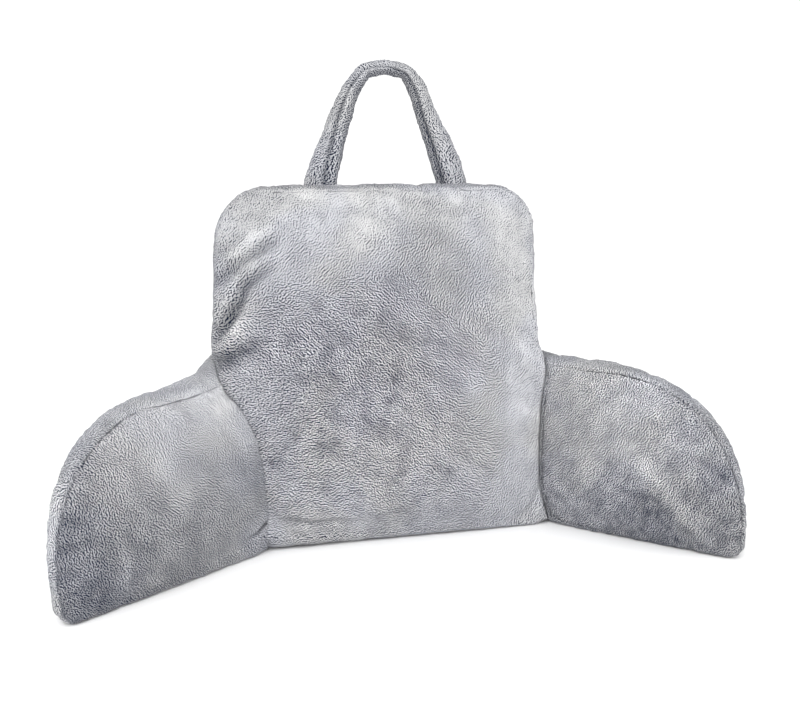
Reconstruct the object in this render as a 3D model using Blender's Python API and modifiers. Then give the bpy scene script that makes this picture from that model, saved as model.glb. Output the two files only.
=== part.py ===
"""Reading pillow with arms: a boxed backrest, two D-shaped arms and a padded carry handle.

The pillow stands on its flat base. X is the sitter's side to side, Y runs from the sitter to the back,
Z is up, and the origin is in the middle of the backrest's base. The sizes below measure Y from the
backrest's front bottom edge. Every filled piece is a coarse cage that Subdivision Surface rounds off,
and the cage is worked out from the sizes and tables.
"""

import bpy
import numpy as np
from mathutils import Vector
from mathutils.bvhtree import BVHTree

MM = 0.001
GAP = 0.3

# Backrest, in millimetres: one row per height of the boxed cushion, measured between its seams.
BACK_HEIGHT = 448.0
BACK_COLUMNS = ("height", "half_width", "front_y", "depth", "side_bulge")
BACK_ROWS = (
    (0.0, 190.5, 0.0, 136.0, 0.0),
    (104.0, 187.0, 29.0, 124.0, 0.0),
    (243.0, 210.0, 67.0, 110.0, 24.0),
    (305.0, 207.5, 85.0, 102.0, 21.0),
    (385.0, 211.5, 107.0, 92.0, 11.0),
    (448.0, 213.0, 124.0, 82.0, 6.0),
)
BACK_HALF_WIDTH = 212.0
BASE_MIDDLE = 68.0
BACK_TOP_CORNER = 50.0
BACK_TOP_BULGE = 11.0
BACK_FRONT_CROWN = 31.0
BACK_REAR_CROWN = 24.0

# The line on which each arm is sewn to the side of the backrest, in millimetres: half the width
# between the two lines, and how far the armpit flares out half way through the gusset.
SEWN_COLUMNS = ("height", "half_width", "flare")
SEWN_ROWS = (
    (0.0, 190.5, 0.0),
    (51.0, 186.0, 0.0),
    (102.0, 187.0, 0.0),
    (153.0, 199.5, 0.0),
    (204.0, 218.0, 0.0),
    (243.0, 210.0, 24.0),
)
ARMPIT_HEIGHT = 243.0

# Arms, in millimetres. They stand forward of the backrest's plane by these angles, in degrees.
ARM_LENGTH = 253.0
ARM_HEIGHT = 204.0
ARM_ANGLE = {"left": 35.0, "right": 45.0}
ARM_NOSE_LENGTH = 170.0
ARM_NOSE_HEIGHT = 190.0
ARM_TOE_RADIUS = 14.0
ARM_COLUMNS = ("along", "thickness_share", "lean", "gusset_bulge", "armpit_share")
ARM_ROWS = (
    (0.0, 1.00, 0.25, 8.0, 1.0),
    (0.2, 0.83, 0.30, 8.0, 0.18),
    (0.4, 0.65, 0.35, 7.0, 0.03),
    (0.6, 0.47, 0.40, 7.0, 0.0),
    (0.8, 0.30, 0.45, 6.0, 0.0),
    (1.0, 0.12, 0.50, 5.0, 0.0),
)
ARM_INNER_CROWN = 19.0
ARM_OUTER_CROWN = 19.0

# Handle, in millimetres: half of the loop's centre line, from the foot to the top, and the tube's two
# widths there. Across is in the loop's own plane, through is square to it.
HANDLE_COLUMNS = ("half_span", "rise", "across", "through")
HANDLE_ROWS = (
    (94.0, 0.0, 44.0, 20.0),
    (86.0, 30.0, 40.0, 23.0),
    (75.0, 66.0, 35.0, 26.0),
    (63.0, 98.0, 32.0, 28.0),
    (49.0, 128.0, 27.0, 31.0),
    (26.0, 151.0, 23.0, 32.0),
    (0.0, 159.0, 22.0, 33.0),
)
HANDLE_OFF_CENTRE = 16.0
HANDLE_LEAN = 0.10
HANDLE_RINGS = 37
HANDLE_SIDES = 16

# Stations of the cages, from 0 to 1. Those of the backrest are at the arm's as far up as the armpit.
ARM_UP = (0.0, 0.25, 0.5, 0.75, 1.0)
ARM_ALONG = (0.0, 0.2, 0.4, 0.6, 0.8, 1.0)
DEEP = (0.0, 0.5, 1.0)
BACK_ACROSS = (-1.0, -0.7, -0.36, 0.0, 0.36, 0.7, 1.0)
BACK_STATIONS = tuple(u * ARM_HEIGHT / BACK_HEIGHT for u in ARM_UP[:-1]) + (0.52, 0.68, 0.86, 1.0)
ARMPIT_STATION = len(ARM_UP) - 1

# How sharp the cages' borders stay when smoothed: a boxed edge, and one that is sewn to its neighbour.
CREASE = 0.33
SEWN_CREASE = 0.6
PLUSH = ((0.46, 0.46, 0.48), (0.44, 0.44, 0.46), (0.45, 0.45, 0.47), (0.40, 0.40, 0.42))


def table(rows, columns, at):
    """Every column of a table at the given values of its first column, straight between the rows."""
    rows = np.array(rows)
    return {name: np.interp(at, rows[:, 0], rows[:, i]) for i, name in enumerate(columns)}


def crown(across, up):
    """How full a filled panel is: 1 in its middle, 0 on its seams. Both run from -1 to 1."""
    def rise(t):
        return np.clip(1.0 - np.abs(t) ** 2.4, 0.0, 1.0) ** 0.62
    return rise(across) * rise(up)


def middle(deep):
    """1 half way between the front and the rear seam of a gusset, 0 on both."""
    return 1.0 - (2.0 * deep - 1.0) ** 2


def round_corner(x, z, width, height, reach_x, reach_z):
    """Draws the square corner at (width, height) in to a quarter of an ellipse."""
    p = np.clip((x - (width - reach_x)) / reach_x, 0.0, 1.0)
    q = np.clip((z - (height - reach_z)) / reach_z, 0.0, 1.0)
    both = (p > 0) & (q > 0)
    p = np.where(both, p, 0.0)
    q = np.where(both, q, 0.0)
    new_x = np.where(both, width - reach_x + reach_x * p * np.sqrt(1 - q * q / 2), x)
    new_z = np.where(both, height - reach_z + reach_z * q * np.sqrt(1 - p * p / 2), z)
    return new_x, new_z


def sewn_half_width(z, deep):
    """Half the width of the backrest where the arms are sewn on, at height z and depth 0 to 1."""
    row = table(SEWN_ROWS, SEWN_COLUMNS, z)
    return row["half_width"] + row["flare"] * middle(deep)


def armpit_height(deep):
    """How high the arm's root reaches: highest half way between the gusset's seams."""
    return ARM_HEIGHT + (ARMPIT_HEIGHT - ARM_HEIGHT) * (0.2 + 0.8 * middle(deep))


def back_points(across, up, deep):
    """Points of the backrest: across from -1 to 1, up from 0 to 1, deep from 0 in front to 1 behind."""
    reach = BACK_TOP_CORNER
    wide = BACK_HALF_WIDTH
    at_armpit = np.isclose(up, BACK_STATIONS[ARMPIT_STATION])
    height = np.where(at_armpit, armpit_height(deep), up * BACK_HEIGHT)
    x, z = round_corner(np.abs(across) * wide, height, wide, BACK_HEIGHT, reach, reach)
    row = table(BACK_ROWS, BACK_COLUMNS, z)
    edge = np.where(np.abs(across) > 0.99, 1.0, 0.0)
    top = np.where(up > 0.99, 1.0, 0.0)
    share = np.where(edge * top > 0, 0.6, 1.0)
    side = row["half_width"] + row["side_bulge"] * middle(deep) * edge * share
    side = np.where(up < BACK_STATIONS[ARMPIT_STATION] + 0.01, sewn_half_width(z, deep) - GAP / 2, side)
    full = crown(across, 2.0 * up - 1.0)
    front = row["front_y"] - BACK_FRONT_CROWN * full
    rear = row["front_y"] + row["depth"] + BACK_REAR_CROWN * full
    y = front + (rear - front) * deep
    z = z + BACK_TOP_BULGE * middle(deep) * top * share
    return np.stack([np.sign(across) * x / wide * side, y, z], -1)


def arm_points(side, along, up, deep):
    """Points of one arm: along from 0 at the root to 1 in front, up 0 to 1, deep 0 inside to 1 outside."""
    turn = np.radians(ARM_ANGLE["left" if side < 0 else "right"])
    s, z = round_corner(along * ARM_LENGTH, up * ARM_HEIGHT, ARM_LENGTH, ARM_HEIGHT,
                        ARM_NOSE_LENGTH, ARM_NOSE_HEIGHT)
    s, under = round_corner(s, ARM_HEIGHT - z, ARM_LENGTH, ARM_HEIGHT, ARM_TOE_RADIUS, ARM_TOE_RADIUS)
    z = ARM_HEIGHT - under
    row = table(ARM_ROWS, ARM_COLUMNS, s / ARM_LENGTH)
    z = z + row["armpit_share"] * (armpit_height(deep) - ARM_HEIGHT) * np.where(up > 0.99, 1.0, 0.0)
    back = table(BACK_ROWS, BACK_COLUMNS, z)
    thick = back["depth"] * np.cos(turn) * row["thickness_share"]
    full = crown(2.0 * along - 1.0, 2.0 * up - 1.0)
    inward = -ARM_INNER_CROWN * full
    outward = thick + ARM_OUTER_CROWN * full
    offset = inward + (outward - inward) * deep
    # Near the root each section is sheared and shifted until it lies on the backrest's side.
    at_root = 1.0 - s / ARM_LENGTH
    flare = (sewn_half_width(z, deep) - SEWN_ROWS[0][1]) * at_root
    lean = back["front_y"] * at_root
    s = s + flare * np.cos(turn) - lean * np.sin(turn) - thick * deep * np.tan(turn) * (1.0 - along)
    offset = offset + flare * np.sin(turn) + lean * np.cos(turn) + row["lean"] * z * (1 - at_root)
    front = np.where(along > 0.99, 1.0, 0.0)
    top = np.where(up > 0.99, 1.0, 0.0)
    low = np.clip(z / 30.0, 0.0, 1.0)
    bulge = row["gusset_bulge"] * middle(deep) * np.where(front * top > 0, 0.7, 1.0)
    s = s + bulge * front * low
    z = z + bulge * top * np.clip(along * 5, 0, 1)
    x = side * (SEWN_ROWS[0][1] + GAP / 2 + s * np.cos(turn) + offset * np.sin(turn))
    y = -s * np.sin(turn) + offset * np.cos(turn)
    return np.stack([x, y, z], -1)


def box_cage(first, second, third):
    """A closed box of quads over three lists of stations.

    Returns a row of three stations for each point, the faces, and the edges along the twelve borders.
    """
    stations = (first, second, third)
    counts = [len(s) for s in stations]
    index = {}

    def corner(place):
        return index.setdefault(tuple(place), len(index))

    faces = []
    borders = set()
    for axis in range(3):
        u, v = [a for a in range(3) if a != axis]
        for end in (0, counts[axis] - 1):
            for i in range(counts[u] - 1):
                for j in range(counts[v] - 1):
                    ring = []
                    for di, dj in ((0, 0), (1, 0), (1, 1), (0, 1)):
                        place = [0, 0, 0]
                        place[axis], place[u], place[v] = end, i + di, j + dj
                        ring.append(corner(place))
                    outward = (end > 0) ^ (axis == 1)
                    faces.append(ring if outward else ring[::-1])
        for a in (0, counts[u] - 1):
            for b in (0, counts[v] - 1):
                for i in range(counts[axis] - 1):
                    ends = []
                    for step in (0, 1):
                        place = [0, 0, 0]
                        place[axis], place[u], place[v] = i + step, a, b
                        ends.append(tuple(place))
                    borders.add(tuple(ends))
    borders = {frozenset(index[end] for end in ends) for ends in borders}
    places = np.array([[stations[a][place[a]] for a in range(3)] for place in index])
    return places, faces, borders


def material(name, colour):
    """A matt cloth surface."""
    made = bpy.data.materials.new(name)
    made.use_nodes = True
    surface = made.node_tree.nodes["Principled BSDF"]
    surface.inputs["Base Color"].default_value = (*colour, 1.0)
    surface.inputs["Roughness"].default_value = 0.95
    made.diffuse_color = (*colour, 1.0)
    return made


def placed(points):
    """Points in metres from the origin, from points in millimetres."""
    return (np.asarray(points) - (0.0, BASE_MIDDLE, 0.0)) * MM


def make_object(name, points, faces, colour):
    """One named object of the pillow, with its own material. The points are in millimetres."""
    mesh = bpy.data.meshes.new(name)
    mesh.from_pydata([tuple(p) for p in placed(points)], [], faces)
    for polygon in mesh.polygons:
        polygon.use_smooth = True
    made = bpy.data.objects.new(name, mesh)
    made.data.materials.append(material(name + "_plush", colour))
    pillow.objects.link(made)
    return made


def smoothed(made):
    """The points of an object's smoothed surface in millimetres, those of its cage first."""
    graph = bpy.context.evaluated_depsgraph_get()
    graph.update()
    surface = made.evaluated_get(graph).data
    found = np.empty(len(surface.vertices) * 3)
    surface.vertices.foreach_get("co", found)
    return found.reshape(-1, 3) / MM + (0.0, BASE_MIDDLE, 0.0)


def fill(name, cage, points_of, sewn, colour, mirrored=False):
    """A filled cushion: seams creased, smoothed twice, its surface passing through the wanted points.

    The sewn points stay put, the same on both sides of a joint, so that the two faces run parallel,
    and nothing goes below the floor, so that the base is flat.
    """
    places, faces, borders = cage
    wanted = points_of(*places.T)
    made = make_object(name, wanted, [face[::-1] for face in faces] if mirrored else faces, colour)
    mesh = made.data
    crease = mesh.attributes.new("crease_edge", "FLOAT", "EDGE")
    for edge in mesh.edges:
        ends = list(edge.vertices)
        if frozenset(ends) in borders:
            crease.data[edge.index].value = SEWN_CREASE if sewn[ends].all() else CREASE
    smooth = made.modifiers.new("soft filling", "SUBSURF")
    smooth.levels = 2
    smooth.render_levels = 2
    points = wanted.copy()
    for _ in range(4):
        points[~sewn] += 0.8 * (wanted - smoothed(made)[: len(points)])[~sewn]
        points[:, 2] = np.maximum(points[:, 2], 0.0)
        mesh.vertices.foreach_set("co", placed(points).ravel())
        mesh.update()
    return made


def handle_tube(backrest):
    """The padded loop as a loft of ellipses whose feet follow the top of the backrest."""
    rows = np.array(HANDLE_ROWS)
    whole = np.concatenate([rows * (-1, 1, 1, 1), rows[-2::-1]])
    run = np.concatenate([[0], np.cumsum(np.hypot(*np.diff(whole[:, :2], axis=0).T))])
    at = np.linspace(0, run[-1], HANDLE_RINGS * 4)
    soft = np.stack([np.interp(at, run, whole[:, i]) for i in range(4)], -1)
    for _ in range(60):
        soft[1:-1] = 0.25 * soft[:-2] + 0.5 * soft[1:-1] + 0.25 * soft[2:]
    soft = soft[np.linspace(0, len(soft) - 1, HANDLE_RINGS).round().astype(int)]
    top_row = table(BACK_ROWS, BACK_COLUMNS, BACK_HEIGHT)
    foot_y = top_row["front_y"] + 0.5 * top_row["depth"]
    centre = np.stack([soft[:, 0] + HANDLE_OFF_CENTRE, foot_y + HANDLE_LEAN * soft[:, 1],
                       BACK_HEIGHT + BACK_TOP_BULGE + soft[:, 1]], -1)
    along = np.gradient(centre, axis=0)
    along /= np.linalg.norm(along, axis=1)[:, None]
    through = np.array([0.0, 1.0, HANDLE_LEAN]) / np.hypot(1.0, HANDLE_LEAN)
    across = np.cross(through, along)
    across /= np.linalg.norm(across, axis=1)[:, None]
    angle = np.linspace(0, 2 * np.pi, HANDLE_SIDES, endpoint=False)
    rings = (centre[:, None]
             + across[:, None] * (np.cos(angle) * 0.5 * soft[:, 2:3])[..., None]
             + through * (np.sin(angle) * 0.5 * soft[:, 3:4])[..., None])
    top = BVHTree.FromObject(backrest, bpy.context.evaluated_depsgraph_get())

    def seated(point):
        above = Vector((*placed(point)[:2], 1.0))
        hit = top.ray_cast(above, Vector((0.0, 0.0, -1.0)))[0]
        return (point[0], point[1], hit.z / MM + GAP)

    middles = [seated(rings[0].mean(0)), seated(rings[-1].mean(0))]
    rings[0] = [seated(p) for p in rings[0]]
    rings[-1] = [seated(p) for p in rings[-1]]
    points = np.concatenate([rings.reshape(-1, 3), middles])
    count = HANDLE_SIDES
    last_ring = (HANDLE_RINGS - 1) * count
    faces = []
    for i in range(count):
        j = (i + 1) % count
        for ring in range(0, last_ring, count):
            faces.append((ring + i, ring + j, ring + count + j, ring + count + i))
        faces.append((len(points) - 2, j, i))
        faces.append((len(points) - 1, last_ring + i, last_ring + j))
    return make_object("handle", points, faces, PLUSH[3])


for old in list(bpy.data.objects):
    bpy.data.objects.remove(old)
pillow = bpy.data.collections.new("reading pillow with arms")
bpy.context.scene.collection.children.link(pillow)

back_cage = box_cage(BACK_ACROSS, BACK_STATIONS, DEEP)
sewn = (np.abs(back_cage[0][:, 0]) == 1) & (back_cage[0][:, 1] <= BACK_STATIONS[ARMPIT_STATION])
backrest = fill("backrest", back_cage, back_points, sewn, PLUSH[0], mirrored=True)
arm_cage = box_cage(ARM_ALONG, ARM_UP, DEEP)
sewn = arm_cage[0][:, 0] == 0
for side, name, colour in ((-1, "arm_left", PLUSH[1]), (1, "arm_right", PLUSH[2])):
    def points_of(along, up, deep, side=side):
        return arm_points(side, along, up, deep)
    fill(name, arm_cage, points_of, sewn, colour, mirrored=side > 0)
handle_tube(backrest)
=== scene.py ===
# %% [markdown]
# # A reading pillow with arms
# A bed rest for sitting up and reading: a boxed backrest, two D-shaped arms and a padded carry loop, all
# sewn from grey short-pile plush and stuffed with fibre. This lesson sews the covers as numpy surfaces,
# lets the filling swell them, works in seams, folds and pile, and gives them their cloth.

# %% Load the frame
import math

import bpy
import numpy as np
from mathutils import Matrix, Vector


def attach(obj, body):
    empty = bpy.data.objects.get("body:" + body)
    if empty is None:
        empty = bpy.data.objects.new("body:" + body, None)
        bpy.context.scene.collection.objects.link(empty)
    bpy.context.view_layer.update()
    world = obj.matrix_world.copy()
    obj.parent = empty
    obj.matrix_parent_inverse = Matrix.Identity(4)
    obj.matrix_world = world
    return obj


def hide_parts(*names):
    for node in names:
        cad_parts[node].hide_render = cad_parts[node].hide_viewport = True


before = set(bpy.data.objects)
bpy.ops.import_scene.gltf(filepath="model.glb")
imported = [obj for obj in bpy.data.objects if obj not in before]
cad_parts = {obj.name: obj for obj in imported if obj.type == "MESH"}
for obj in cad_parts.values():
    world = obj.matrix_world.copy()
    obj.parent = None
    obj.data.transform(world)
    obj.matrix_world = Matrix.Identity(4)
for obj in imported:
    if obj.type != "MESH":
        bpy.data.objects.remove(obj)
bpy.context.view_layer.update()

MM = 0.001
print("the frame has the nodes", ", ".join(sorted(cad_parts)))

# %% [markdown]
# ## Patterns and cushions
# A pattern cutter writes a cushion down as a few widths at a few heights. A table of such rows is easy to
# read and to change. Between two rows the cloth runs smoothly, so the table is read with a cubic that
# never swings past a row, as a straight one would leave a crease at every height.


# %% Read a pattern table
def smooth_table(rows, columns, at):
    """Every column of a table at the wanted values of its first column.

    A cubic joins the rows. Its slope at a row is twice the product of the slopes on both sides over
    their sum, or zero where one side rises and the other falls, so it never swings past a row.
    """
    rows = np.array(rows, float)
    x, y = rows[:, 0], rows[:, 1:]
    step = np.diff(x)[:, None]
    rise = np.diff(y, axis=0) / step
    product, total = rise[:-1] * rise[1:], rise[:-1] + rise[1:]
    slope = np.concatenate([rise[:1], rise[:-1], rise[-1:]])
    slope[1:-1] = np.where(product > 0, 2 * product / np.where(total == 0, 1, total), 0)
    at = np.clip(at, x[0], x[-1])
    i = np.clip(np.searchsorted(x, at, side="right") - 1, 0, len(x) - 2)
    t = ((at - x[i]) / step[i, 0])[..., None]
    value = ((1 + 2 * t) * (1 - t) ** 2 * y[i] + t * (1 - t) ** 2 * step[i] * slope[i]
             + t * t * (3 - 2 * t) * y[i + 1] + t * t * (t - 1) * step[i] * slope[i + 1])
    return {name: value[..., k] for k, name in enumerate(columns[1:])}


half_way = smooth_table([(0, 40), (10, 60)], ("height", "width"), np.array(5.0))
print("half way between a width of 40 and one of 60 the table reads", float(half_way["width"]))

# %% [markdown]
# ## Blend and bulge
# Cloth rarely changes at once. Two small curves do most of the blending: one that climbs softly from one
# thing to another, and one that is highest half way between two seams, as a stuffed strip is.


# %% Blend and bulge
def smoothstep(low, high, value):
    """0 below low, 1 above high, and 3t^2 - 2t^3 between them."""
    t = np.clip((value - low) / (high - low), 0, 1)
    return t * t * (3 - 2 * t)


def middle(deep):
    """1 half way between the front and the rear seam of a gusset, 0 on both: 1 - (2d - 1)^2."""
    return 1 - (2 * deep - 1) ** 2


print("a quarter of the way in, a gusset has", middle(0.25), "of its bulge")

# %% [markdown]
# ## One closed box of cloth
# Each cushion is sewn as a box: a front and a rear panel with a gusset strip between them. A box of grid
# points that share their borders stands for it. Three numbers say where a point is on the box: across or
# along, up, and deep. A formula then puts every point where the sewn cushion has it.


# %% Make the box
def stations(count, ends=0.5):
    """Places from 0 to 1 that stand closer together near both ends, where the seams are.

    A straight run is mixed with a quarter wave of the sine, which is slow at its ends.
    """
    t = np.linspace(-1, 1, count)
    return 0.5 + 0.5 * ((1 - ends) * t + ends * np.sin(0.5 * np.pi * t))


def box_grid(first, second, third):
    """A closed box of quads over three lists of stations: the stations of each point, quads, sides.

    Every side is a grid of whole-number places. Equal places on two sides become one point.
    """
    counts = [len(first), len(second), len(third)]
    rings, sides = [], []
    for side in range(6):
        axis, end = divmod(side, 2)
        u, v = [a for a in range(3) if a != axis]
        i, j = (g.ravel()[:, None] for g in np.meshgrid(
            np.arange(counts[u] - 1), np.arange(counts[v] - 1), indexing="ij"))
        ring = np.zeros((len(i), 4, 3), int)
        ring[..., axis] = end * (counts[axis] - 1)
        ring[..., u] = i + np.array([0, 1, 1, 0])
        ring[..., v] = j + np.array([0, 0, 1, 1])
        rings.append(ring if bool(end) ^ (axis == 1) else ring[:, ::-1])
        sides.append(np.full(len(i), side))
    places, index = np.unique(np.concatenate(rings).reshape(-1, 3), axis=0, return_inverse=True)
    where = np.stack([first[places[:, 0]], second[places[:, 1]], third[places[:, 2]]], -1)
    return where, index.reshape(-1, 4), np.concatenate(sides)


small_box = box_grid(stations(4), stations(3), stations(3))
print("a box of 4 by 3 by 3 stations has", len(small_box[0]), "points and", len(small_box[1]), "quads")

# %% [markdown]
# ## Round corners
# A panel with square corners would be a crate. The real panels are cut round at the top, so the square
# outline is drawn in there. The gusset follows the same outline and bulges in the direction in which the
# outline faces, so that direction is worked out too.


# %% Round the corners
def round_corner(x, z, width, height, reach_x, reach_z):
    """Draws the square corner at (width, height) in to a quarter of an ellipse.

    p and q run from 0 to 1 into the corner: x becomes p sqrt(1 - q^2/2) and z becomes q sqrt(1 - p^2/2).
    """
    p = np.clip((x - (width - reach_x)) / reach_x, 0, 1)
    q = np.clip((z - (height - reach_z)) / reach_z, 0, 1)
    both = (p > 0) & (q > 0)
    new_x = np.where(both, width - reach_x + reach_x * p * np.sqrt(1 - q * q / 2), x)
    new_z = np.where(both, height - reach_z + reach_z * q * np.sqrt(1 - p * p / 2), z)
    return new_x, new_z


def outward(x, z, width, height, reach_x, reach_z):
    """The direction in which the outline with that round corner faces, as its two parts."""
    p = np.clip((x - (width - reach_x)) / reach_x, 0, 1)
    q = np.clip((z - (height - reach_z)) / reach_z, 0, 1)
    p, q = (p + 1e-6) / reach_x, (q + 1e-6) / reach_z
    size = np.hypot(p, q)
    return p / size, q / size


tip = np.array(round_corner(10, 10, 10, 10, 10, 10))
print("the tip of a 10 mm square corner moves to", tip.round(2))

# %% [markdown]
# ## The sizes of the backrest
# All sizes are in millimetres. Y is measured from the front bottom edge of the backrest, and the whole
# pillow moves by BASE_MIDDLE at the end, so that the origin is in the middle of the backrest's base. The
# backrest is narrowest a little above its base, widest where the arms end, and it leans back and grows
# thinner towards its top, as a wedge that carries a back does.

# %% Sizes of the backrest
BASE_MIDDLE = 68.0
ROOT_LAP = {"left": 1.5, "right": -0.15}    # how far an arm's root laps the backrest's side
BACK_HEIGHT = 450.0
BACK_WIDE = 212.0                           # half the width of the flat pattern
BACK_COLUMNS = ("height", "left", "right", "rear", "front_y", "depth", "left_bulge", "right_bulge")
BACK_ROWS = (
    (0.0, 180.5, 199.5, 190.5, 0.0, 136.0, 0.0, 0.0),
    (51.0, 178.0, 192.5, 186.0, 14.0, 130.0, 0.0, 0.0),
    (102.0, 180.0, 196.5, 187.0, 28.0, 124.0, 0.0, 0.0),
    (153.0, 191.0, 204.0, 199.5, 42.0, 119.0, 0.0, 0.0),
    (180.0, 205.0, 210.0, 207.0, 49.5, 116.0, 2.0, 1.0),
    (204.0, 222.5, 215.0, 211.0, 56.0, 114.0, 6.0, 3.0),
    (243.0, 228.5, 207.0, 210.0, 67.0, 110.0, 11.0, 5.0),
    (305.0, 226.0, 205.0, 206.0, 85.0, 102.0, 9.0, 13.0),
    (385.0, 220.5, 209.5, 209.0, 107.0, 92.0, 5.0, 12.0),
    (455.0, 216.0, 213.0, 211.0, 126.0, 81.0, 4.0, 6.0),
)
BACK_CORNER = {"left": 61.0, "right": 50.0}
BACK_TOP_BULGE = 5.0
GUSSET_ROUND = 0.6                          # under 1: the gusset turns away from its seams at once
BACK_FRONT_CROWN = 31.0
BACK_REAR_CROWN = 24.0
ROLL_UNDER, ROLL_LOPSIDED, ROLL_RADIUS = 9.5, -9.5, 26.0    # the base edge rolls under, more at the left
ROLL_FADE = 60.0                            # up to this height the panel is drawn up by the roll
SEWN_TOP = (190.0, 250.0)                   # sewn to the arms below it, free above it
LAP_TOP = (200.0, 235.0)
NOTCH_DEEP, NOTCH_WIDE, NOTCH_THROUGH = 6.0, 13.0, 0.15     # the bottom edge beside a sewn side
print("the backrest is", 2 * BACK_WIDE, "mm wide and", BACK_HEIGHT, "mm high")

# %% [markdown]
# ## The sizes of the arms
# Each arm is a D lying on its straight edge. At its root it is as thick as the backrest is deep, and it
# thins to a blunt toe. The two arms differ a little, as hand-stuffed ones do: the right one is turned in
# further and is shorter.

# %% Sizes of the arms
ARM_LENGTH = {"left": 262.0, "right": 245.5}
ARM_HEIGHT = {"left": 202.5, "right": 208.0}
ARM_ANGLE = {"left": 34.0, "right": 46.5}
ARMPIT_HEIGHT = {"left": 243.0, "right": 222.0}
NOSE_LENGTH = {"left": 160.0, "right": 172.0}
NOSE_BELOW, TOE_RADIUS = 14.0, 19.0
ARM_ROLL = {"left": (22.5, 1.0), "right": (7.0, -1.0)}      # how far the base rolls under: root, toe
ARM_ROLL_RADIUS, ARM_ROLL_FADE, ARM_ROLL_THINNEST = 9.0, 50.0, 12.0
ARM_COLUMNS = ("along", "thickness_share", "lean", "bulge", "armpit_share")
ARM_ROWS = (
    (0.0, 1.00, 0.25, 8.0, 1.0),
    (0.2, 0.83, 0.30, 7.0, 0.22),
    (0.4, 0.67, 0.35, 6.0, 0.03),
    (0.6, 0.51, 0.40, 7.0, 0.0),
    (0.8, 0.36, 0.45, 6.0, 0.0),
    (1.0, 0.20, 0.50, 3.0, 0.0),
)
ARM_CROWN = 19.0
ROOT_CREASE = {"left": 1.6, "right": 1.5}
TOE_PLUMP, TOE_SETTLE = 32.0, 0.35          # the toe leans out over this height, and settles inwards
BULGE_ABOVE_FLOOR = 30.0
for label in ARM_LENGTH:
    print("the", label, "arm is", ARM_LENGTH[label], "mm long, turned by", ARM_ANGLE[label], "degrees")

# %% [markdown]
# ## How full the panels are
# A stuffed panel rises steeply from its seam and is nearly flat in its middle. One exponent says how
# steep: a small one for a boxed edge that stands proud, a large one where two panels meet in a soft
# crease. Before the filling swells it, the cover is cut a little flat.

# %% Crowns and gussets
FLAT_MIDDLE = 2.4       # the higher this power, the flatter the middle of a panel
BOXED_EDGE = 0.62       # steep, where a panel meets its gusset


def rise(t, steep):
    """How far a panel has risen at t, from -1 on one seam to 1 on the other: (1 - |t|^2.4)^steep."""
    return np.clip(1 - np.abs(t) ** FLAT_MIDDLE, 0, 1) ** steep


def armpit_height(label, deep):
    """How high an arm's root reaches: highest half way between the gusset's seams."""
    height = ARM_HEIGHT[label]
    return height + (ARMPIT_HEIGHT[label] - height) * (0.2 + 0.8 * middle(deep))


def side_half_width(label, z, deep):
    """Half the width of the backrest on one side: from front to rear seam, and out by the bulge between."""
    row = smooth_table(BACK_ROWS, BACK_COLUMNS, z)
    bulge = row[label + "_bulge"] * middle(deep) ** GUSSET_ROUND
    return row[label] + (row["rear"] - row[label]) * deep + bulge


def roll(deep, depth, radius):
    """How far the base has rolled down to the floor: a quarter circle of that radius at each seam."""
    t = np.clip(np.minimum(deep, 1 - deep) * depth / radius, 0, 1)
    return np.sqrt(1 - (1 - t) ** 2)


def notch(away, deep):
    """How far the bottom edge is drawn up beside a sewn side, in front: a bell of the distance to it."""
    return NOTCH_DEEP * np.exp(-(away / NOTCH_WIDE) ** 2) * (1 - smoothstep(0.0, NOTCH_THROUGH, deep))


print("a tenth of the way in from its seam, a panel has", rise(0.8, BOXED_EDGE).round(2), "of its crown")

# %% [markdown]
# ## The formula of the backrest
# A modeller could push a cube into shape by hand. A formula is easier to correct, because each habit of
# the sewn thing is one line: the round corners, the lean, the crown, the bulging gusset, and the lower
# front edge, which the filling rolls under so that the pillow stands on a narrower base.


# %% Shape the backrest
def back_points(across, up, deep, full=1.0):
    """Points of the backrest: across 0 to 1, up 0 to 1, deep from 0 in front to 1 behind.

    A rectangle with two round corners, scaled to the table's half width at its height, leaning back
    with the table's front_y, crowned in front and behind, its gusset bulging out between the seams.
    """
    across = 2 * across - 1
    left = across < 0
    reach = np.where(left, BACK_CORNER["left"], BACK_CORNER["right"])
    corner = (BACK_WIDE, BACK_HEIGHT, reach, reach)
    flat = np.abs(across) * BACK_WIDE, up * BACK_HEIGHT
    x, z = round_corner(*flat, *corner)
    facing_z = outward(*flat, *corner)[1]
    row = smooth_table(BACK_ROWS, BACK_COLUMNS, z)
    half = np.where(left, side_half_width("left", z, deep), side_half_width("right", z, deep))
    inside = np.where(left, row["left"], row["right"])
    inside = inside + (row["rear"] - inside) * deep
    border = np.isclose(np.abs(across), 1) | np.isclose(up, 1)
    half = np.where(border, inside + (half - inside) * (1 - facing_z ** 2) * full, inside)
    lap = np.where(left, ROOT_LAP["left"], ROOT_LAP["right"]) * (1 - smoothstep(*LAP_TOP, z))
    x = x / BACK_WIDE * half + lap * np.isclose(np.abs(across), 1)
    crease = BOXED_EDGE + 1 - smoothstep(*SEWN_TOP, z)
    crown = rise(across, crease) * rise(2 * up - 1, BOXED_EDGE) * full
    front = row["front_y"] - BACK_FRONT_CROWN * crown
    rear = row["front_y"] + row["depth"] + BACK_REAR_CROWN * crown
    y = front + (rear - front) * deep
    rolled = np.where(np.isclose(up, 0), roll(deep, row["depth"], ROLL_RADIUS), 0)
    lift = (ROLL_UNDER + ROLL_LOPSIDED * across) * (1 - rolled)
    lift = lift + notch((1 - np.abs(across)) * BACK_WIDE, deep)
    top = BACK_TOP_BULGE * middle(deep) * border * facing_z ** 2 * full
    z = z + top + lift * (1 - smoothstep(0, ROLL_FADE, z))
    return np.stack([np.sign(across) * x, y, z], -1)


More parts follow.
